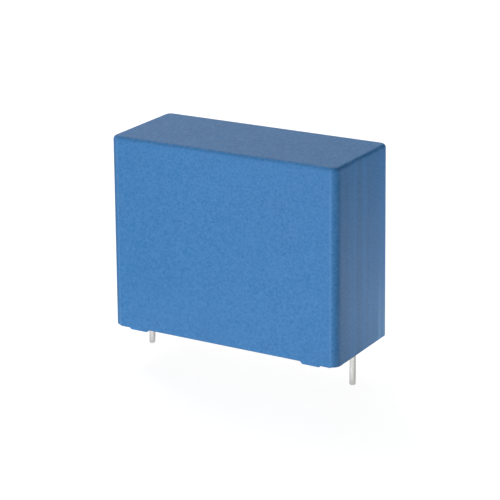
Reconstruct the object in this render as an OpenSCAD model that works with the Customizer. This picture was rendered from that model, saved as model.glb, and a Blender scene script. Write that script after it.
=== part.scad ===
// Box film capacitor with two radial leads.
// Origin: the middle of the board face, where the four feet stand. X runs along the
// lead row, -Y is the front, and +Z points to the closed top of the case.

/* [Leads] */
// Distance between the two lead wires, centre to centre
lead_pitch = 37.5; // [27.5:0.5:52.5]
// Diameter of the round lead wire
lead_dia = 1; // [0.8:0.1:1.2]
// Length of the leads below the board face
lead_l = 5.6; // [3:0.1:25]
// Chamfer that the cutter leaves round a lead's free end
lead_chamfer = 0.12; // [0.02:0.02:0.2]
// Thickness of a lead where it is pressed flat for its weld
lead_flat_t = 0.6; // [0.4:0.05:0.7]
// Height over which the round wire turns flat
lead_neck_h = 1.2; // [0.6:0.1:1.6]
// Length of flat lead that lies on the sprayed end
weld_l = 13; // [5:0.5:18]

/* [Case] */
// Outside depth of the case at its rim, front to back
case_d = 17.4; // [14:0.1:22]
// Height of the closed top above the board face
case_h = 32.25; // [28:0.05:40]
// Thickness of the walls at the rim
wall_t = 0.9; // [0.6:0.05:1.2]
// Thickness of the closed top
roof_t = 1.1; // [0.8:0.05:2]
// Draft of the outer walls, in degrees
draft_out = 0.33; // [0.1:0.01:0.5]
// Draft of the inner walls, in degrees
draft_in = 0.5; // [0.3:0.05:0.8]
// Radius of the four upright edges
edge_r = 1.25; // [1.1:0.05:2]
// Radius round the closed top
top_r = 0.6; // [0.5:0.05:1.1]
// Smallest radius inside the moulding
inner_r = 0.35; // [0.2:0.05:0.5]

/* [Feet] */
// Height of the four feet, which hold the rim clear of the board
foot_h = 0.4; // [0.3:0.05:1.5]
// Length of a foot along its wall, at the board face
foot_l = 3; // [1.5:0.1:5]
// Run of the ramps beside a foot
foot_ramp = 0.35; // [0.1:0.05:0.5]
// Distance from the end of the case to the middle of a foot
foot_inset = 4.65; // [4.5:0.05:8]
// Height of the low land between a foot and its corner of the case
land_h = 0.15; // [0.05:0.05:0.25]

/* [Wound element] */
// Thickness of the sprayed metal on each end of the winding
spray_t = 0.45; // [0.2:0.05:0.8]
// Thickness of the plain film wrapped round the winding
cover_t = 0.15; // [0.05:0.05:0.4]
// Width of the closed core slit that the winding mandrel leaves
core_slit = 0.25; // [0.1:0.05:0.6]

/* [Sealing resin] */
// Depth of the resin face below the rim of the case
fill_depth = 0.7; // [0.5:0.05:1.5]
// Depth of resin between its face and the winding
seal_depth = 2.2; // [1.5:0.1:4]
// Resin between the winding and each long wall, at the closed top
side_gap = 0.3; // [0.2:0.05:1]
// Resin between the winding and the closed top
top_gap = 0.6; // [0.3:0.05:2]
// Resin between a flattened lead and the end wall, at the rim
end_gap = 0.55; // [0.5:0.05:2]
// Height that the resin creeps along the walls and the leads
creep_h = 0.6; // [0.3:0.05:0.6]
// Thickness at which the creep ends
creep_tip = 0.05; // [0.02:0.01:0.1]

/* [Hidden] */

$fn = 64;
post_fn = 32;        // sides of a corner post and of a lead's neck
arc_step = 11.25;    // degrees between the points of a drawn arc
slice = 0.01;        // thickness of a slice that a hull runs between
over = 1;            // how far a cutting solid runs past what it cuts

// Leads
lead_r = lead_dia / 2;
lead_x = lead_pitch / 2;
flat_area = PI * (lead_r * lead_r - lead_flat_t * lead_flat_t / 4);
lead_flat_w = lead_flat_t + flat_area / lead_flat_t;

// Case
case_l = lead_pitch + lead_flat_t + 2 * (end_gap + wall_t);
slope_out = tan(draft_out);
slope_in = tan(draft_in);
cavity_l = case_l - 2 * wall_t;
cavity_d = case_d - 2 * wall_t;
cavity_h = case_h - roof_t;
cavity_edge_r = max(inner_r, edge_r - wall_t);

// Feet
foot_start = case_l / 2 - foot_inset - foot_l / 2;
foot_end = foot_start + foot_l;
land_z = foot_h - land_h;
land_start = foot_end + foot_ramp * land_z / foot_h;
land_end = case_l / 2 - edge_r;

// Resin
fill_z = foot_h + fill_depth;
creep_z = fill_z - creep_h;

// Wound element, with its cover film and its sprayed ends
element_t = cavity_d - 2 * (side_gap + cavity_h * slope_in);
element_top = cavity_h - top_gap;
element_bottom = fill_z + seal_depth;
element_h = element_top - element_bottom;
element_z = (element_top + element_bottom) / 2;
spray_face = lead_x - lead_flat_t / 2;
film_w = 2 * (spray_face - spray_t);
winding_h = element_h - 2 * cover_t;
winding_t = element_t - 2 * cover_t;
core_h = winding_h - winding_t;

// Post with a rounded top, which leans inwards by the draft of its walls
module corner_post(side_x, side_y, l, d, h, r, round_r, slope) {
    top_arc = [
        for (a = [0 : arc_step : 90])
            [r - round_r * (1 - cos(a)), h - round_r * (1 - sin(a))]
    ];
    multmatrix([
        [1, 0, -side_x * slope, side_x * (l / 2 - r)],
        [0, 1, -side_y * slope, side_y * (d / 2 - r)],
        [0, 0, 1, 0],
        [0, 0, 0, 1]
    ])
        rotate_extrude($fn = post_fn)
            polygon(concat([[0, 0], [r, 0]], top_arc, [[0, h]]));
}

// Drafted block with round upright edges and a rounded top
module moulded_block(l, d, h, r, round_r, slope) {
    hull()
        for (side_x = [-1, 1], side_y = [-1, 1])
            corner_post(side_x, side_y, l, d, h, r, round_r, slope);
}

// Oval of two half circles joined by straight sides, its long way along Y
module oval(long, short) {
    square([short, long - short], center = true);
    for (side = [-1, 1])
        translate([0, side * (long - short) / 2])
            circle(d = short);
}

// Draws an end-view outline out along the lead row, at the element's height
module along_element(l) {
    translate([0, 0, element_z])
        rotate([90, 0, 90])
            linear_extrude(l, center = true)
                children();
}

// Outside of the winding with its cover film and its sprayed ends
module element_space() {
    along_element(2 * spray_face)
        oval(element_h, element_t);
}

// Inside of the case, drawn on past its rim
module cavity() {
    translate([0, 0, -over])
        moulded_block(
            cavity_l + 2 * over * slope_in,
            cavity_d + 2 * over * slope_in,
            cavity_h + over,
            cavity_edge_r,
            inner_r,
            slope_in
        );
}

// What is cut from one half of the long walls' rim to leave a foot and its land
module rim_relief() {
    translate([0, case_d / 2 + over, 0])
        rotate([90, 0, 0])
            linear_extrude(case_d + 2 * over)
                polygon([
                    [-over, -over],
                    [-over, foot_h],
                    [foot_start - foot_ramp, foot_h],
                    [foot_start, 0],
                    [foot_end, 0],
                    [land_start, land_z],
                    [land_end, land_z],
                    [land_end + foot_ramp, foot_h],
                    [case_l / 2 + over, foot_h],
                    [case_l / 2 + over, -over]
                ]);
}

// Moulded plastic case: closed top, open board side, four feet on its long walls
module case() {
    color([0.27, 0.49, 0.73])
        difference() {
            moulded_block(case_l, case_d, case_h, edge_r, top_r, slope_out);
            cavity();
            rim_relief();
            mirror([1, 0, 0])
                rim_relief();
        }
}

// Tinned wire: round where it is free, pressed flat where it lies on the spray
module lead_wire() {
    neck_top = creep_z + lead_neck_h;
    translate([0, 0, -lead_l])
        cylinder(h = lead_chamfer, r1 = lead_r - lead_chamfer, r2 = lead_r);
    translate([0, 0, lead_chamfer - lead_l])
        cylinder(h = creep_z + lead_l - lead_chamfer, r = lead_r);
    hull() {
        translate([0, 0, creep_z])
            linear_extrude(slice)
                circle(r = lead_r, $fn = post_fn);
        translate([0, 0, neck_top - slice])
            linear_extrude(slice)
                oval(lead_flat_w, lead_flat_t, $fn = post_fn);
    }
    translate([0, 0, neck_top])
        linear_extrude(element_bottom + weld_l - neck_top)
            oval(lead_flat_w, lead_flat_t);
}

module lead_at(side) {
    color([0.82, 0.82, 0.80])
        translate([side * lead_x, 0, 0])
            lead_wire();
}

// Air below the resin: a shallow pan with a round floor edge, where resin wets the wall
module air_pan() {
    inset = creep_tip + fill_z * slope_in;
    moulded_block(
        cavity_l - 2 * inset,
        cavity_d - 2 * inset,
        fill_z,
        creep_h + creep_tip,
        creep_h,
        0
    );
}

// Collar of resin that creeps down a lead, with a hollow flank
module creep_collar() {
    flank_r = lead_r + creep_tip + creep_h;
    flank = [
        for (a = [90 : arc_step : 180])
            [flank_r + creep_h * cos(a), creep_z + creep_h * sin(a)]
    ];
    rotate_extrude()
        polygon(concat(flank, [[0, creep_z], [0, fill_z + over], [flank_r, fill_z + over]]));
}

// Cast resin that fills the case round the wound element
module sealing_resin() {
    color([0.20, 0.29, 0.40])
        difference() {
            cavity();
            translate([-case_l / 2, -case_d / 2, -2 * over])
                cube([case_l, case_d, creep_z + 2 * over]);
            difference() {
                air_pan();
                for (side = [-1, 1])
                    translate([side * lead_x, 0, 0])
                        creep_collar();
            }
            element_space();
            for (side = [-1, 1])
                translate([side * lead_x, 0, 0])
                    lead_wire();
        }
}

// Two metallised films wound together and pressed flat, closed round their core slit
module winding() {
    color([0.72, 0.73, 0.75])
        along_element(film_w)
            difference() {
                oval(winding_h, winding_t);
                oval(core_h, core_slit);
            }
}

// Plain film wrapped round the winding to hold and insulate it
module cover_film() {
    color([0.90, 0.88, 0.78])
        along_element(film_w)
            difference() {
                oval(element_h, element_t);
                oval(winding_h, winding_t);
            }
}

// Metal sprayed on one end of the winding, which joins the turns of one film
module end_spray_at(side) {
    color([0.60, 0.61, 0.62])
        translate([side * (film_w + spray_t) / 2, 0, 0])
            along_element(spray_t)
                oval(element_h, element_t);
}

module end_spray_left() {
    end_spray_at(-1);
}

module end_spray_right() {
    end_spray_at(1);
}

module lead_left() {
    lead_at(-1);
}

module lead_right() {
    lead_at(1);
}

case();
sealing_resin();
winding();
cover_film();
end_spray_left();
end_spray_right();
lead_left();
lead_right();
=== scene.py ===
import math

import bmesh
import bpy
from mathutils import Matrix, Vector


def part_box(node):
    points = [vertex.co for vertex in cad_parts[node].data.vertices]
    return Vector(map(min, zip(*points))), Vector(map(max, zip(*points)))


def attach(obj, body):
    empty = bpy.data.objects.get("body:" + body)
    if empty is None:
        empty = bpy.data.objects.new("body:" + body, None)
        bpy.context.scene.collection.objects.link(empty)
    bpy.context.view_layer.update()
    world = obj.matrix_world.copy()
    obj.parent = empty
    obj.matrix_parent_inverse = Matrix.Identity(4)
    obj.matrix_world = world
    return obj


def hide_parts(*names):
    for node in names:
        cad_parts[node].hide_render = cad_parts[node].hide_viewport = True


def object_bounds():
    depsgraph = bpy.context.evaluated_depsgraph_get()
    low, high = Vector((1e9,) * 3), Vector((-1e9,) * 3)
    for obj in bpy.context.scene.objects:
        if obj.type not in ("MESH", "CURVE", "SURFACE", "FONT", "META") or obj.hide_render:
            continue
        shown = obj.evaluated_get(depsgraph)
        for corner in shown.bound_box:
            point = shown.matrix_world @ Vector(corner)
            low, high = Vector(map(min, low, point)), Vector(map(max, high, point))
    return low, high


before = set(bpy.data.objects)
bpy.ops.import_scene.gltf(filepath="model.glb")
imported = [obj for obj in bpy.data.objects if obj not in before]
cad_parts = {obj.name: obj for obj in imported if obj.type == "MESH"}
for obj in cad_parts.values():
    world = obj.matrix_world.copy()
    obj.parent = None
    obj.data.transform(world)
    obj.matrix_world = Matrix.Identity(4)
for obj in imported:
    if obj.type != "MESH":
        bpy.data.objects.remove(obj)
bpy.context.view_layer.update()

MM = 0.001


# ---- Winding -------------------------------------------------------------------
# Two plastic films with a skin of metal, wound together on a mandrel and pressed
# flat. The turns show as fine bands round the roll; a film's metal is silver grey.

FILM_DARK = (0.50, 0.51, 0.53)
FILM_LIGHT = (0.68, 0.69, 0.72)


def new_finish(name, metallic, roughness):
    """An empty finish: its nodes, its links and its shader."""
    finish = bpy.data.materials.new(name)
    finish.use_nodes = True
    nodes, links = finish.node_tree.nodes, finish.node_tree.links
    shader = nodes["Principled BSDF"]
    shader.inputs["Metallic"].default_value = metallic
    shader.inputs["Roughness"].default_value = roughness
    return finish, nodes, links, shader


def stretched_place(nodes, links, per_metre):
    """The place on the piece, scaled by so many features a metre along X, Y and Z."""
    place = nodes.new("ShaderNodeTexCoord")
    scaling = nodes.new("ShaderNodeMapping")
    scaling.inputs["Scale"].default_value = per_metre
    links.new(place.outputs["Object"], scaling.inputs["Vector"])
    return scaling.outputs["Vector"]


def noise(nodes, links, vector, detail, roughness=0.5):
    """Cloudy noise from 0 to 1, most of it between 0.3 and 0.7."""
    texture = nodes.new("ShaderNodeTexNoise")
    texture.inputs["Scale"].default_value = 1.0
    texture.inputs["Detail"].default_value = detail
    texture.inputs["Roughness"].default_value = roughness
    links.new(vector, texture.inputs["Vector"])
    return texture.outputs["Fac"]


def spread(nodes, links, value, low, high, from_low=0.3, from_high=0.7):
    """Carries a texture's value over to the range from low to high."""
    remap = nodes.new("ShaderNodeMapRange")
    remap.inputs["From Min"].default_value = from_low
    remap.inputs["From Max"].default_value = from_high
    remap.inputs["To Min"].default_value = low
    remap.inputs["To Max"].default_value = high
    links.new(value, remap.inputs["Value"])
    return remap.outputs["Result"]


def blend_colours(nodes, links, share, colour_a, colour_b):
    """The first colour where the share is 0, the second where it is 1."""
    mix = nodes.new("ShaderNodeMix")
    mix.data_type = "RGBA"
    for socket, colour in ((mix.inputs[6], colour_a), (mix.inputs[7], colour_b)):
        if isinstance(colour, tuple):
            socket.default_value = (*colour, 1.0)
        else:
            links.new(colour, socket)
    links.new(share, mix.inputs[0])
    return mix.outputs[2]


def calc(nodes, links, operation, a, b=0.0):
    """One sum of two values, each a number or another node's output."""
    step = nodes.new("ShaderNodeMath")
    step.operation = operation
    for socket, value in ((step.inputs[0], a), (step.inputs[1], b)):
        if isinstance(value, float):
            socket.default_value = value
        else:
            links.new(value, socket)
    return step.outputs["Value"]


def raise_relief(nodes, links, shader, height, depth, strength=1.0):
    """Bumps the shader's surface by a height from 0 to 1 that stands for so deep."""
    bump = nodes.new("ShaderNodeBump")
    bump.inputs["Distance"].default_value = depth
    if isinstance(strength, float):
        bump.inputs["Strength"].default_value = strength
    else:
        links.new(strength, bump.inputs["Strength"])
    links.new(height, bump.inputs["Height"])
    links.new(bump.outputs["Normal"], shader.inputs["Normal"])


def finish_node(name, finish):
    """Gives a carried-over solid of the frame its finish."""
    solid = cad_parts[name]
    for slot in solid.material_slots:
        slot.material = finish
    if not solid.material_slots:
        solid.data.materials.append(finish)


film_metal, nodes, links, shader = new_finish("metallised film", 0.85, 0.3)
turns = noise(nodes, links, stretched_place(nodes, links, (60, 9000, 9000)), 3.0)
links.new(
    blend_colours(
        nodes, links, spread(nodes, links, turns, 0.0, 1.0), FILM_DARK, FILM_LIGHT,
    ),
    shader.inputs["Base Color"],
)
links.new(spread(nodes, links, turns, 0.22, 0.40), shader.inputs["Roughness"])
raise_relief(nodes, links, shader, turns, 0.01 * MM)
finish_node("winding", film_metal)


# ---- Cover film ----------------------------------------------------------------
# Plain milky film wrapped several times round the winding to hold and insulate it.
# It was heat-sealed along its end, and it puckers lightly across the roll.

COVER_YELLOWED = (0.66, 0.62, 0.48)
COVER_MILKY = (0.82, 0.79, 0.66)

cover_finish, nodes, links, shader = new_finish("plain film", 0.0, 0.35)
puckers = noise(nodes, links, stretched_place(nodes, links, (900, 90, 90)), 4.0, 0.6)
links.new(
    blend_colours(
        nodes, links, spread(nodes, links, puckers, 0.0, 1.0),
        COVER_YELLOWED, COVER_MILKY,
    ),
    shader.inputs["Base Color"],
)
links.new(spread(nodes, links, puckers, 0.28, 0.45), shader.inputs["Roughness"])
raise_relief(nodes, links, shader, puckers, 0.03 * MM)
finish_node("cover_film", cover_finish)


# ---- Sprayed ends --------------------------------------------------------------
# Molten metal blown on to each end of the winding, which joins all the turns of
# one film. It sets as a dull grey crust of fine splashes.

SPRAY_DARK = (0.26, 0.27, 0.28)
SPRAY_LIGHT = (0.46, 0.46, 0.46)

spray_finish, nodes, links, shader = new_finish("sprayed metal", 0.8, 0.7)
splashes = nodes.new("ShaderNodeTexVoronoi")
splashes.inputs["Scale"].default_value = 1.0
links.new(stretched_place(nodes, links, (5200, 5200, 5200)), splashes.inputs["Vector"])
crust = noise(nodes, links, stretched_place(nodes, links, (1400, 1400, 1400)), 5.0, 0.7)
grit = calc(
    nodes, links, "ADD", crust,
    calc(nodes, links, "MULTIPLY", splashes.outputs["Distance"], 0.5),
)
links.new(
    blend_colours(
        nodes, links, spread(nodes, links, crust, 0.0, 1.0), SPRAY_DARK, SPRAY_LIGHT,
    ),
    shader.inputs["Base Color"],
)
links.new(spread(nodes, links, crust, 0.55, 0.85), shader.inputs["Roughness"])
raise_relief(nodes, links, shader, grit, 0.06 * MM)
finish_node("end_spray_left", spray_finish)
finish_node("end_spray_right", spray_finish)


# ---- Lead wires ----------------------------------------------------------------
# Round drawn wire with a bright tin coat, cropped to length, which leaves a small
# rounded burr at the tip. Each is pressed flat higher up, where it is welded on.

LEAD_RADIUS = 0.5 * MM
LEAD_TIP_ROUND = 0.14 * MM
LEAD_ROUND_TOP = 0.5 * MM      # from here up the round wire turns flat
LEAD_FLAT_BOTTOM = 1.7 * MM
LEAD_FLAT = 0.6 * MM
LEAD_FLAT_WIDE = 1.438 * MM
LEAD_SIDES = 48
NECK_STEPS = 8
# each wire's name, how far its tip leans along X, and how much shorter it is
BENT_WIRES = (
    ("lead_left", -0.28 * MM, 0.15 * MM),
    ("lead_right", -0.06 * MM, 0.0),
)
TIN_LIGHT = (0.90, 0.895, 0.88)
TIN_DULL = (0.78, 0.78, 0.77)
CORE_COPPER = (0.60, 0.36, 0.24)


def lead_section(x, z, share_flat, shrink=0.0):
    """One ring of the wire: a circle that turns into an oval, pressed along X."""
    ring = []
    for i in range(LEAD_SIDES):
        a = 2 * math.pi * i / LEAD_SIDES
        round_x = LEAD_RADIUS * math.cos(a)
        round_y = LEAD_RADIUS * math.sin(a)
        half_straight = (LEAD_FLAT_WIDE - LEAD_FLAT) / 2
        oval_x = LEAD_FLAT / 2 * math.cos(a)
        oval_y = LEAD_FLAT / 2 * math.sin(a) + math.copysign(half_straight, math.sin(a))
        px = round_x + (oval_x - round_x) * share_flat
        py = round_y + (oval_y - round_y) * share_flat
        keep = 1 - shrink / LEAD_RADIUS
        ring.append((x + px * keep, py * keep, z))
    return ring


def skin_of_rings(rings):
    """Points and faces of an open skin through rings of equal count."""
    count = len(rings[0])
    faces = []
    for start in range(0, (len(rings) - 1) * count, count):
        for i in range(count):
            j = (i + 1) % count
            faces.append((start + i, start + j, start + count + j, start + count + i))
    return [p for ring in rings for p in ring], faces


def wire_of_rings(name, rings, cap_start, cap_end):
    """A closed wire through rings of equal count, with a fan at each end."""
    verts, faces = skin_of_rings(rings)
    count = len(rings[0])
    last = (len(rings) - 1) * count
    verts += [cap_start, cap_end]
    for i in range(count):
        j = (i + 1) % count
        faces.append((j, i, len(verts) - 2))
        faces.append((last + i, last + j, len(verts) - 1))
    mesh = bpy.data.meshes.new(name)
    mesh.from_pydata(verts, [], faces)
    mesh.validate()
    mesh.shade_smooth()
    piece = bpy.data.objects.new(name, mesh)
    bpy.context.scene.collection.objects.link(piece)
    return piece


tin, nodes, links, shader = new_finish("tinned wire", 1.0, 0.3)
drawn = noise(nodes, links, stretched_place(nodes, links, (9000, 9000, 260)), 3.0, 0.6)
dulling = noise(nodes, links, stretched_place(nodes, links, (1300, 1300, 500)), 4.0, 0.6)
place = nodes.new("ShaderNodeTexCoord")
facing = nodes.new("ShaderNodeSeparateXYZ")
links.new(place.outputs["Normal"], facing.inputs["Vector"])
tinned = blend_colours(
    nodes, links, spread(nodes, links, dulling, 0.0, 1.0), TIN_LIGHT, TIN_DULL,
)
cut_face = spread(nodes, links, facing.outputs["Z"], 1.0, 0.0, -0.98, -0.9)
links.new(
    blend_colours(nodes, links, cut_face, tinned, CORE_COPPER),
    shader.inputs["Base Color"],
)
links.new(spread(nodes, links, dulling, 0.18, 0.34), shader.inputs["Roughness"])
raise_relief(nodes, links, shader, drawn, 0.004 * MM)

for name, lean, short in BENT_WIRES:
    low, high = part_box(name)
    x = (low[0] + high[0]) / 2
    rings = []
    for turn in (0, 20, 40, 60, 75, 90):
        a = math.radians(turn)
        inset = LEAD_TIP_ROUND * (1 - math.sin(a))
        lift = LEAD_TIP_ROUND * (1 - math.cos(a))
        rings.append(lead_section(x, low[2] + lift, 0.0, inset))
    for z in (-4.5, -3.5, -2.5, -1.5, -0.5, 0.2):
        rings.append(lead_section(x, z * MM, 0.0))
    for i in range(NECK_STEPS + 1):
        share = i / NECK_STEPS
        z = LEAD_ROUND_TOP + (LEAD_FLAT_BOTTOM - LEAD_ROUND_TOP) * share
        rings.append(lead_section(x, z, share * share * (3 - 2 * share)))
    rings.append(lead_section(x, high[2] - 0.15 * MM, 1.0))
    rings.append(lead_section(x, high[2], 1.0, 0.1 * MM))
    bent = []
    for ring in rings:
        share = max(0.0, (LEAD_ROUND_TOP - ring[0][2]) / (LEAD_ROUND_TOP - low[2]))
        bent.append([(px + lean * share, py, pz + short * share) for px, py, pz in ring])
    tip = (x + lean, 0.0, low[2] + short)
    wire = wire_of_rings("wire_" + name.split("_")[1], bent, tip, (x, 0.0, high[2]))
    wire.data.materials.append(tin)
    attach(wire, "root")
    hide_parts(name)


# ---- Case ----------------------------------------------------------------------
# Blue flame-retardant plastic box, injection moulded in one shot with a slight
# draft, and closed at the top. Its walls carry the fine grain of an eroded mould.

EDGE_RADIUS = 1.25 * MM
TOP_RADIUS = 0.6 * MM
WALL = 0.9 * MM
ROOF = 1.1 * MM
DRAFT_OUTSIDE = math.tan(math.radians(0.33))
DRAFT_INSIDE = math.tan(math.radians(0.5))
CEILING_RADIUS = 0.33 * MM
RIM_ROUND = 0.1 * MM
FOOT = 0.4 * MM
LAND = 0.25 * MM
SINK = 0.015 * MM              # how far the skin dips between its stiff edges
TOP_SINK = 0.08 * MM           # how far the whole top sinks as it cools
# grains, clouds, streaks and speckles a metre, along X, Y and Z
GRAIN = (2700, 1900, 2700)
CLOUD = (230, 230, 230)
DRAG = (620, 620, 12)
SPECKLE = (2500, 1200, 2500)
GRAIN_DEPTH = 0.11 * MM
GRAIN_DARK = (0.010, 0.156, 0.417)
GRAIN_LIGHT = (0.047, 0.210, 0.493)
# the pale colour of the painted sheen and highlights on the case
SHEEN_PALE = (0.19, 0.40, 0.70)
# upright bands on the ends, drag streaks that grow paler towards the back as painted sheen:
# place from front to back in mm, 0 for dark to 1 for pale
DRAG_AND_SHEEN_BANDS = (
    (-8.7, 0.06), (-6.0, 0.06), (-4.5, 0.28), (-2.7, 0.50), (-1.6, 0.03),
    (-0.9, 0.10), (0.6, 0.62), (1.7, 0.06), (2.8, 0.32), (4.3, 0.41), (5.7, 0.66),
    (6.5, 0.72), (8.7, 1.0),
)
# painted sheen low on the ends: place from front to back in mm, and its strength
REAR_SHEEN_BANDS = (
    (-8.7, 0.16), (3.8, 0.24), (4.9, 0.32), (5.8, 1.0), (6.7, 0.5), (7.5, 1.0),
    (8.7, 0.9),
)

case_low, case_high = (Vector(c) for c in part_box("case"))
case_half_x = (case_high.x - case_low.x) / 2 + FOOT * DRAFT_OUTSIDE
case_half_y = (case_high.y - case_low.y) / 2
case_top = case_high.z - TOP_SINK
ceiling = case_top - ROOF

# the rim's outline from the middle of a long wall out to its corner
RIM_OUTLINE = (
    (0.0, FOOT), (14.0 * MM, FOOT), (14.35 * MM, 0.0), (17.35 * MM, 0.0),
    (17.481 * MM, LAND - 0.1 * MM), (17.569 * MM, LAND), (19.25 * MM, LAND),
    (19.6 * MM, FOOT), (25.0 * MM, FOOT),
)


def rim_height_sharp(x):
    """The rim's height at a place along the long walls, with sharp turns."""
    x = abs(x)
    for (x0, z0), (x1, z1) in zip(RIM_OUTLINE, RIM_OUTLINE[1:]):
        if x <= x1:
            return z0 + (z1 - z0) * (x - x0) / (x1 - x0)
    return FOOT


def rim_height(x):
    """The rim's height, with the small fillets of the mould at each turn."""
    reach = 0.09 * MM
    return sum(rim_height_sharp(x + reach * i / 4) for i in range(-4, 5)) / 9


def even(low, high, step):
    """Even places from low to high, about a step apart."""
    count = max(1, round((high - low) / step))
    return [low + (high - low) * i / count for i in range(count + 1)]


# where the straight walls end at the rim, and how close to it their last row stands
corner_x = case_half_x - EDGE_RADIUS
corner_y = case_half_y - EDGE_RADIUS
near_end = 0.12 * MM
CORNER_TURNS = [8, 16.3, 24, 32, 40, 50, 60, 70, 80]     # degrees

# places along the long walls: even ones, and close ones where the rim turns
places = even(-corner_x + near_end, corner_x - near_end, 1.5 * MM)
for turn in (14.0, 14.35, 17.35, 17.525):
    for step in (-0.1, -0.05, 0.0, 0.05, 0.1):
        places += [(turn + step) * MM, -(turn + step) * MM]
places = sorted({round(place, 7) for place in places})
front_x = [-corner_x] + [
    v for i, v in enumerate(places) if i == 0 or v - places[i - 1] > 0.02 * MM
] + [corner_x]
end_y = [
    -corner_y, *even(-corner_y + near_end, corner_y - near_end, 1.4 * MM), corner_y,
]


def case_loop(inset, lean):
    """Once round the case, so far inside its rim outline and leaning in by so much."""
    radius = EDGE_RADIUS - inset
    cx, cy = corner_x - lean, corner_y - lean
    grow_x, grow_y = cx / corner_x, cy / corner_y
    loop = []

    def corner(side_x, side_y, start):
        for turn in CORNER_TURNS:
            a = math.radians(start + turn)
            x, y = radius * math.cos(a), radius * math.sin(a)
            loop.append((side_x * cx + x, side_y * cy + y))

    loop += [(x * grow_x, -cy - radius) for x in front_x]
    corner(1, -1, -90)
    loop += [(cx + radius, y * grow_y) for y in end_y]
    corner(1, 1, 0)
    loop += [(x * grow_x, cy + radius) for x in reversed(front_x)]
    corner(-1, 1, 90)
    loop += [(-cx - radius, y * grow_y) for y in reversed(end_y)]
    corner(-1, -1, 180)
    return loop


def dip(across, along, half_across, half_along, phase):
    """How far a wall's skin dips at a place: nothing at its edges, most inside."""
    window = 1.0
    for share in (across / half_across, along / half_along):
        window *= max(0.0, 1 - share ** 4)
    wide = math.sin(across / (3.1 * MM) + phase) * math.cos(along / (2.7 * MM) - phase)
    fine = math.sin(across / (1.9 * MM) - along / (4.3 * MM) + 2 * phase)
    return SINK * window * (0.55 + 0.25 * wide + 0.2 * fine)


def wall_row(z):
    """Once round the outside at a height, with the dip of each wall."""
    lean = z * DRAFT_OUTSIDE
    mid_z = case_top / 2
    half_z = mid_z - TOP_RADIUS
    row = []
    for x, y in case_loop(0.0, lean):
        if abs(x) < corner_x - lean + 1e-9:
            phase = 0.7 if y < 0 else 2.1
            y -= math.copysign(dip(x, z - mid_z, corner_x, half_z, phase), y)
        elif abs(y) < corner_y - lean + 1e-9:
            phase = 3.0 if x < 0 else 4.4
            x -= math.copysign(dip(y, z - mid_z, corner_y, half_z, phase), x)
        row.append((x, y, z))
    return row


rows = []

# inside, from the ceiling down to the rim
for turn in (90, 60, 30, 0):
    a = math.radians(turn)
    inset = WALL + CEILING_RADIUS * (1 - math.cos(a))
    z = ceiling - CEILING_RADIUS * (1 - math.sin(a))
    rows.append([(x, y, z) for x, y in case_loop(inset, z * DRAFT_INSIDE)])
for z in (24 * MM, 16 * MM, 8 * MM, 3 * MM, 1.4 * MM, 0.9 * MM):
    rows.append([(x, y, z) for x, y in case_loop(WALL, z * DRAFT_INSIDE)])

# round the rim, from inside to outside
for turn in (0, 30, 60, 90):
    a = math.radians(turn)
    inset = WALL - RIM_ROUND * (1 - math.cos(a))
    rows.append([
        (x, y, rim_height(x) + RIM_ROUND * (1 - math.sin(a)))
        for x, y in case_loop(inset, FOOT * DRAFT_INSIDE * (1 - turn / 90))
    ])
for inset in (WALL - RIM_ROUND - 0.05 * MM, RIM_ROUND + 0.05 * MM):
    rows.append([(x, y, rim_height(x)) for x, y in case_loop(inset, 0.0)])
for turn in (90, 60, 30, 0):
    a = math.radians(turn)
    rows.append([
        (x, y, rim_height(x) + RIM_ROUND * (1 - math.sin(a)))
        for x, y in case_loop(RIM_ROUND * (1 - math.cos(a)), 0.0)
    ])

# up the outside
for share, lift in ((0.8, 0.15), (0.45, 0.35), (0.0, 1.0)):
    z0 = lift * MM
    rows.append([
        (x, y, rim_height(x) * share + z0)
        for x, y in case_loop(0.0, (z0 + FOOT * share) * DRAFT_OUTSIDE)
    ])
wall_top = case_top - TOP_RADIUS
for z in even(1.6 * MM, wall_top - near_end, 1.45 * MM):
    rows.append(wall_row(z))
for turn in (0, 12, 24, 36, 48, 60, 72, 84, 90):
    a = math.radians(turn)
    z = wall_top + TOP_RADIUS * math.sin(a)
    rows.append([
        (x, y, z) for x, y in case_loop(TOP_RADIUS * (1 - math.cos(a)), z * DRAFT_OUTSIDE)
    ])


def flat_patch(verts, faces, ring_start, z, sunk):
    """Fills a ring of the case with a grid, strips along its sides and corner fans.
    A sunk patch is the outside of the top, which dips; the other one is the ceiling."""
    nx, ny, nc = len(front_x), len(end_y), len(CORNER_TURNS)
    lean = z * (DRAFT_OUTSIDE if sunk else DRAFT_INSIDE)
    grow_x, grow_y = (corner_x - lean) / corner_x, (corner_y - lean) / corner_y
    grid = {}
    for i, x in enumerate(front_x):
        for j, y in enumerate(end_y):
            grid[i, j] = len(verts)
            drop = dip(x, y, corner_x, corner_y, 5.5) if sunk else 0.0
            verts.append((x * grow_x, y * grow_y, z - drop))
    for i in range(nx - 1):
        for j in range(ny - 1):
            faces.append((grid[i, j], grid[i + 1, j], grid[i + 1, j + 1], grid[i, j + 1]))
    total = 2 * (nx + ny) + 4 * nc
    front = [ring_start + i for i in range(nx)]
    right = [ring_start + nx + nc + j for j in range(ny)]
    back = [ring_start + nx + 2 * nc + ny + i for i in range(nx)]
    left = [ring_start + 2 * nx + 3 * nc + ny + j for j in range(ny)]
    sides = (
        (front, [grid[i, 0] for i in range(nx)]),
        (right, [grid[nx - 1, j] for j in range(ny)]),
        (back, [grid[i, ny - 1] for i in reversed(range(nx))]),
        (left, [grid[0, j] for j in reversed(range(ny))]),
    )
    for outer, inner in sides:
        for i in range(len(outer) - 1):
            faces.append((outer[i], outer[i + 1], inner[i + 1], inner[i]))
    for s in range(4):
        hub = sides[s][1][-1]
        run = [sides[s][0][-1] + i for i in range(nc + 1)] + [sides[(s + 1) % 4][0][0]]
        for a, b in zip(run, run[1:]):
            faces.append((a, b if b < ring_start + total else ring_start, hub))


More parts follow.
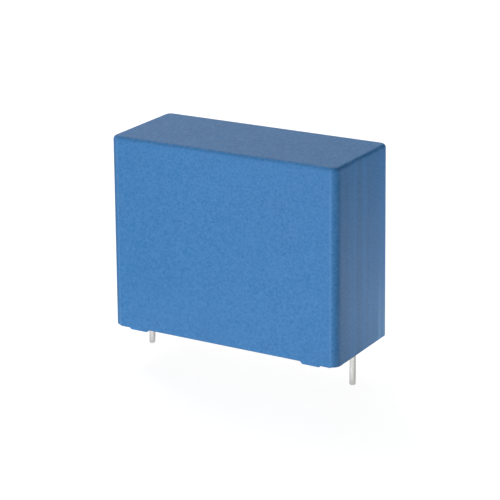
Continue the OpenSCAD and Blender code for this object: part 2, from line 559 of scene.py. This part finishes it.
verts, faces = skin_of_rings(rows)
flat_patch(verts, faces, 0, ceiling, False)
flat_patch(verts, faces, (len(rows) - 1) * len(rows[0]), case_top, True)
case_mesh = bpy.data.meshes.new("case_shell")
case_mesh.from_pydata(verts, [], faces)
case_mesh.validate()

# how far each point is into an upright edge, and whether it is where a long wall turns
work = bmesh.new()
work.from_mesh(case_mesh)
bmesh.ops.recalc_face_normals(work, faces=work.faces)
rounding = work.verts.layers.float.new("rounding")
turning = work.verts.layers.float.new("turning")
for v in work.verts:
    lean = v.co.z * DRAFT_OUTSIDE
    out_x = (abs(v.co.x) - corner_x + lean) / EDGE_RADIUS
    out_y = (abs(v.co.y) - corner_y + lean) / EDGE_RADIUS
    if min(out_x, out_y) > 0.01:
        v[rounding] = min(1.0, 8 * min(out_x, out_y), 1.4 - out_x)
    # where a long wall turns, for a painted highlight line
    if -0.01 < out_x < 0.2 and out_y > 0.9:
        v[turning] = 1.0
work.to_mesh(case_mesh)
work.free()
case_mesh.shade_smooth()
case_shell = bpy.data.objects.new("case_shell", case_mesh)
bpy.context.scene.collection.objects.link(case_shell)


def level_along(nodes, links, place, stops):
    """A level that runs smoothly through the stops; each is a place in mm and a level."""
    first, last = stops[0][0], stops[-1][0]
    ramp = nodes.new("ShaderNodeValToRGB")
    ramp.color_ramp.interpolation = "EASE"
    points = ramp.color_ramp.elements
    for point, level in ((points[0], stops[0][1]), (points[1], stops[-1][1])):
        point.color = (level, level, level, 1.0)
    for at, level in stops[1:-1]:
        point = points.new((at - first) / (last - first))
        point.color = (level, level, level, 1.0)
    share = spread(nodes, links, place, 0.0, 1.0, first * MM, last * MM)
    links.new(share, ramp.inputs["Fac"])
    return ramp.outputs["Color"]


blue, nodes, links, shader = new_finish("case plastic", 0.0, 0.5)
shader.inputs["Specular IOR Level"].default_value = 0.75
grain = noise(nodes, links, stretched_place(nodes, links, GRAIN), 2.0, 0.6)
cloud = noise(nodes, links, stretched_place(nodes, links, CLOUD), 3.0, 0.55)
drag = noise(nodes, links, stretched_place(nodes, links, DRAG), 4.0, 0.65)
speckle = noise(nodes, links, stretched_place(nodes, links, SPECKLE), 2.0, 0.6)
coords = nodes.new("ShaderNodeTexCoord")
facing = nodes.new("ShaderNodeSeparateXYZ")
links.new(coords.outputs["Normal"], facing.inputs["Vector"])
spot = nodes.new("ShaderNodeSeparateXYZ")
links.new(coords.outputs["Object"], spot.inputs["Vector"])
edge = nodes.new("ShaderNodeAttribute")
edge.attribute_name = "rounding"
highlight_line = nodes.new("ShaderNodeAttribute")
highlight_line.attribute_name = "turning"

# the plain plastic: grain and clouds, painted shade in the upright edges, and drag streaks
# on the ends that carry painted sheen towards the back
on_end = spread(
    nodes, links, calc(nodes, links, "ABSOLUTE", facing.outputs["X"]), 0.0, 1.0, 0.75, 0.97,
)
# drag streaks, with painted sheen paler towards the back of the ends
drag_and_sheen_bands = level_along(nodes, links, spot.outputs["Y"], DRAG_AND_SHEEN_BANDS)
streaks_and_sheen = calc(
    nodes, links, "MULTIPLY", on_end,
    calc(
        nodes, links, "ADD", spread(nodes, links, drag, -0.08, 0.08),
        spread(nodes, links, drag_and_sheen_bands, -0.17, 0.25, 0.0, 1.0),
    ),
)
# cloudy tone, with painted shade that darkens the upright edges by a tenth
tone_and_edge_shade = calc(
    nodes, links, "ADD", spread(nodes, links, cloud, 0.975, 1.025),
    calc(nodes, links, "MULTIPLY", edge.outputs["Fac"], -0.10),
)
tint = nodes.new("ShaderNodeVectorMath")
tint.operation = "SCALE"
links.new(
    blend_colours(
        nodes, links, spread(nodes, links, grain, 0.0, 1.0), GRAIN_DARK, GRAIN_LIGHT,
    ),
    tint.inputs[0],
)
links.new(calc(nodes, links, "ADD", tone_and_edge_shade, streaks_and_sheen), tint.inputs["Scale"])

# painted sheen low on the ends, pale and streaked, strongest towards the back
low_down = spread(nodes, links, spot.outputs["Z"], 1.0, 0.0, 3 * MM, 13 * MM)
painted_rear_sheen = calc(
    nodes, links, "MULTIPLY",
    calc(
        nodes, links, "MULTIPLY", low_down,
        level_along(nodes, links, spot.outputs["Y"], REAR_SHEEN_BANDS),
    ),
    calc(nodes, links, "MULTIPLY", spread(nodes, links, drag, 0.40, 0.90), on_end),
)

# a painted highlight in a pale line where a long wall turns, and pale speckles of painted
# sheen, most on the top
# painted sheen: pale speckles, strongest on upward faces
painted_glints = calc(
    nodes, links, "MULTIPLY", spread(nodes, links, speckle, 0.0, 0.36, 0.39, 0.63),
    spread(nodes, links, facing.outputs["Z"], 0.3, 0.7, 0.1, 0.9),
)
# painted highlight: a pale line where each long wall turns
painted_highlight = calc(nodes, links, "MULTIPLY", highlight_line.outputs["Fac"], 0.18)
painted_light_share = calc(nodes, links, "ADD", calc(nodes, links, "MAXIMUM", painted_rear_sheen, painted_highlight), painted_glints)
links.new(
    blend_colours(nodes, links, painted_light_share, tint.outputs["Vector"], SHEEN_PALE),
    shader.inputs["Base Color"],
)

# the upright edges are smoother and flatter than the walls, the long walls flattest
burnish = calc(nodes, links, "MULTIPLY", edge.outputs["Fac"], 0.02)
links.new(
    calc(nodes, links, "SUBTRACT", spread(nodes, links, grain, 0.38, 0.56), burnish),
    shader.inputs["Roughness"],
)
coarseness = spread(
    nodes, links, calc(nodes, links, "ABSOLUTE", facing.outputs["Y"]), 0.7, 0.3, 0.1, 0.9,
)
rubbed = calc(nodes, links, "MULTIPLY", edge.outputs["Fac"], 0.6)
strength = calc(
    nodes, links, "MULTIPLY", coarseness, calc(nodes, links, "SUBTRACT", 1.0, rubbed),
)
raise_relief(nodes, links, shader, grain, GRAIN_DEPTH, strength)
case_shell.data.materials.append(blue)
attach(case_shell, "root")
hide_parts("case")


# ---- Sealing resin -------------------------------------------------------------
# Two-part casting resin poured in round the winding and cured. It sets a little
# below the rim, and it has crept up the walls and the wires before it hardened.

RESIN_DARK = (0.030, 0.062, 0.115)
RESIN_LIGHT = (0.045, 0.085, 0.150)

resin_finish, nodes, links, shader = new_finish("sealing resin", 0.0, 0.3)
swirl = noise(nodes, links, stretched_place(nodes, links, (210, 210, 210)), 4.0, 0.6)
pin_holes = nodes.new("ShaderNodeTexVoronoi")
pin_holes.inputs["Scale"].default_value = 1.0
links.new(stretched_place(nodes, links, (520, 520, 520)), pin_holes.inputs["Vector"])
links.new(
    blend_colours(
        nodes, links, spread(nodes, links, swirl, 0.0, 1.0), RESIN_DARK, RESIN_LIGHT,
    ),
    shader.inputs["Base Color"],
)
links.new(spread(nodes, links, swirl, 0.22, 0.42), shader.inputs["Roughness"])
pits = spread(nodes, links, pin_holes.outputs["Distance"], 0.0, 1.0, 0.05, 0.16)
raise_relief(nodes, links, shader, calc(nodes, links, "ADD", pits, swirl), 0.03 * MM)
finish_node("sealing_resin", resin_finish)


# ---- Studio --------------------------------------------------------------------
# A seamless pale table that the capacitor stands on by the tips of its wires, and soft
# lamps: a wide one from the front left, two small ones low in front, one high at the
# rear left, one behind, and one low at the rear right.

TABLE_HALF = 4.0
TABLE_BOUNCE = 0.85             # how pale the paper is for light that it throws back
TABLE_SEEN = 0.25               # how pale it is to the camera, beside its own glow
TABLE_GLOW = 0.92
TABLE_DIM = 0.17                # its glow outside the painted pools of light, in reflections
# the painted pools of light on the table, seen only in reflections: middle, inner radius
# and outer radius
FRONT_PATCH = ((2 * MM, -10 * MM), 26 * MM, 44 * MM)
REAR_PATCH = ((44 * MM, 47 * MM), 17 * MM, 66 * MM)
AMBIENT = 0.04
BACKDROP_LIGHT = 0.72
BACKDROP_TOWARDS = (-0.70, 0.25, 0.55)
CAMERA_LENS = 144.38            # mm, in front of a 36 mm wide sensor
CAMERA_AZIMUTH = 0.53251        # turned from the front to the right side
CAMERA_ELEVATION = 0.32015
CAMERA_ROLL = -0.01003
CAMERA_AIM = (0.0, 0.0, 16.12 * MM)
CAMERA_AWAY = 319.66 * MM
CAMERA_ASIDE = -0.1214 * MM
CAMERA_DOWN = 2.182 * MM

table_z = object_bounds()[0][2]
table_mesh = bpy.data.meshes.new("table")
table_mesh.from_pydata(
    [(-TABLE_HALF, -TABLE_HALF, table_z), (TABLE_HALF, -TABLE_HALF, table_z),
     (TABLE_HALF, TABLE_HALF, table_z), (-TABLE_HALF, TABLE_HALF, table_z)],
    [], [(0, 1, 2, 3)],
)
table = bpy.data.objects.new("table", table_mesh)
bpy.context.scene.collection.objects.link(table)
paper = bpy.data.materials.new("table paper")
paper.use_nodes = True
nodes, links = paper.node_tree.nodes, paper.node_tree.links
nodes.remove(nodes["Principled BSDF"])
ray = nodes.new("ShaderNodeLightPath").outputs
mirrored = calc(
    nodes, links, "MAXIMUM", ray["Is Glossy Ray"], ray["Is Transmission Ray"],
)
paleness = blend_colours(
    nodes, links, ray["Is Camera Ray"], (TABLE_BOUNCE,) * 3, (TABLE_SEEN,) * 3,
)
matte = nodes.new("ShaderNodeBsdfDiffuse")
links.new(
    blend_colours(nodes, links, mirrored, paleness, (0.0, 0.0, 0.0)),
    matte.inputs["Color"],
)
table_point = nodes.new("ShaderNodeTexCoord").outputs["Object"]


def lit_patch(centre, inner, outer):
    """1 on a round patch of the table, which fades to 0 at its outer radius."""
    away = nodes.new("ShaderNodeVectorMath")
    away.operation = "DISTANCE"
    away.inputs[1].default_value = (*centre, table_z)
    links.new(table_point, away.inputs[0])
    return spread(nodes, links, away.outputs["Value"], 1.0, 0.0, inner, outer)


across_table = nodes.new("ShaderNodeSeparateXYZ")
links.new(table_point, across_table.inputs["Vector"])
# painted shade: the front pool fades under and behind the case
before_case = spread(nodes, links, across_table.outputs["Y"], 1.0, 0.3, -7 * MM, 3 * MM)
painted_pools = calc(
    nodes, links, "MAXIMUM", lit_patch(*REAR_PATCH),
    calc(nodes, links, "MULTIPLY", lit_patch(*FRONT_PATCH), before_case),
)
pool = spread(nodes, links, painted_pools, TABLE_DIM, 1.0, 0.0, 1.0)
glow = nodes.new("ShaderNodeEmission")
links.new(
    calc(
        nodes, links, "ADD",
        calc(nodes, links, "MULTIPLY", ray["Is Camera Ray"], TABLE_GLOW),
        calc(nodes, links, "MULTIPLY", mirrored, pool),
    ),
    glow.inputs["Strength"],
)
both = nodes.new("ShaderNodeAddShader")
links.new(matte.outputs["BSDF"], both.inputs[0])
links.new(glow.outputs["Emission"], both.inputs[1])
links.new(both.outputs["Shader"], nodes["Material Output"].inputs["Surface"])
table.data.materials.append(paper)

world = bpy.data.worlds.new("studio")
bpy.context.scene.world = world
world.use_nodes = True
nodes, links = world.node_tree.nodes, world.node_tree.links
ray = nodes.new("ShaderNodeLightPath").outputs
seen = calc(
    nodes, links, "MAXIMUM",
    calc(nodes, links, "MAXIMUM", ray["Is Camera Ray"], ray["Is Glossy Ray"]),
    ray["Is Transmission Ray"],
)
sky = nodes["Background"]
sky.inputs["Color"].default_value = (1.0, 1.0, 1.0, 1.0)
direction = nodes.new("ShaderNodeTexCoord")
towards_backdrop = nodes.new("ShaderNodeVectorMath")
towards_backdrop.operation = "DOT_PRODUCT"
towards_backdrop.inputs[1].default_value = Vector(BACKDROP_TOWARDS).normalized()
links.new(direction.outputs["Generated"], towards_backdrop.inputs[0])
backdrop = spread(
    nodes, links, towards_backdrop.outputs["Value"], 0.0, BACKDROP_LIGHT, 0.40, 0.85,
)
backdrop = calc(nodes, links, "MAXIMUM", backdrop, ray["Is Camera Ray"])
mixed = nodes.new("ShaderNodeMix")
links.new(seen, mixed.inputs[0])
mixed.inputs[2].default_value = AMBIENT
links.new(backdrop, mixed.inputs[3])
links.new(mixed.outputs[0], sky.inputs["Strength"])


def soft_lamp(name, towards, distance, azimuth, elevation, width, watts):
    """A square soft lamp; metres and degrees, azimuth from the front to the right."""
    az, el = math.radians(azimuth), math.radians(elevation)
    out = Vector((math.sin(az) * math.cos(el), -math.cos(az) * math.cos(el), math.sin(el)))
    data = bpy.data.lights.new(name, "AREA")
    data.size = width
    data.energy = watts
    lamp = bpy.data.objects.new(name, data)
    bpy.context.scene.collection.objects.link(lamp)
    lamp.location = Vector(towards) + out * distance
    lamp.rotation_euler = out.to_track_quat("Z", "Y").to_euler()
    lamp.visible_camera = False
    lamp.visible_glossy = False


middle = (0.0, 0.0, case_top / 2)
soft_lamp("front_lamp", middle, 1.2, -40, 0, 0.6, 4.9)
soft_lamp("near_lamp", (0.01, -0.0087, -0.001), 0.2, 10, 0, 0.05, 0.345)
soft_lamp("low_lamp", (-0.005, -0.0087, -0.003), 0.12, -15, 0, 0.05, 0.052)
soft_lamp("left_lamp", middle, 1.0, -128, 46, 0.5, 5.7)
soft_lamp("back_lamp", middle, 1.0, -155, 30, 0.5, 1.9)
soft_lamp("rear_lamp", (0.0205, 0.0, 0.008), 0.30, 150, 2, 0.15, 0.83)

camera_data = bpy.data.cameras.new("camera")
camera_data.sensor_width = 36.0
camera_data.lens = CAMERA_LENS
camera_data.clip_start = 0.01
camera_data.clip_end = 20.0
camera = bpy.data.objects.new("camera", camera_data)
bpy.context.scene.collection.objects.link(camera)
right = Vector((math.cos(CAMERA_AZIMUTH), math.sin(CAMERA_AZIMUTH), 0.0))
back = Vector((
    math.sin(CAMERA_AZIMUTH) * math.cos(CAMERA_ELEVATION),
    -math.cos(CAMERA_AZIMUTH) * math.cos(CAMERA_ELEVATION),
    math.sin(CAMERA_ELEVATION),
))
up = back.cross(right)
across = right * math.cos(CAMERA_ROLL) + up * math.sin(CAMERA_ROLL)
upward = up * math.cos(CAMERA_ROLL) - right * math.sin(CAMERA_ROLL)
camera.matrix_world = Matrix((
    (across.x, upward.x, back.x, 0.0),
    (across.y, upward.y, back.y, 0.0),
    (across.z, upward.z, back.z, 0.0),
    (0.0, 0.0, 0.0, 1.0),
))
camera.location = (
    Vector(CAMERA_AIM)
    + back * CAMERA_AWAY - across * CAMERA_ASIDE - upward * CAMERA_DOWN
)
bpy.context.scene.camera = camera
bpy.context.scene.view_settings.view_transform = "Standard"
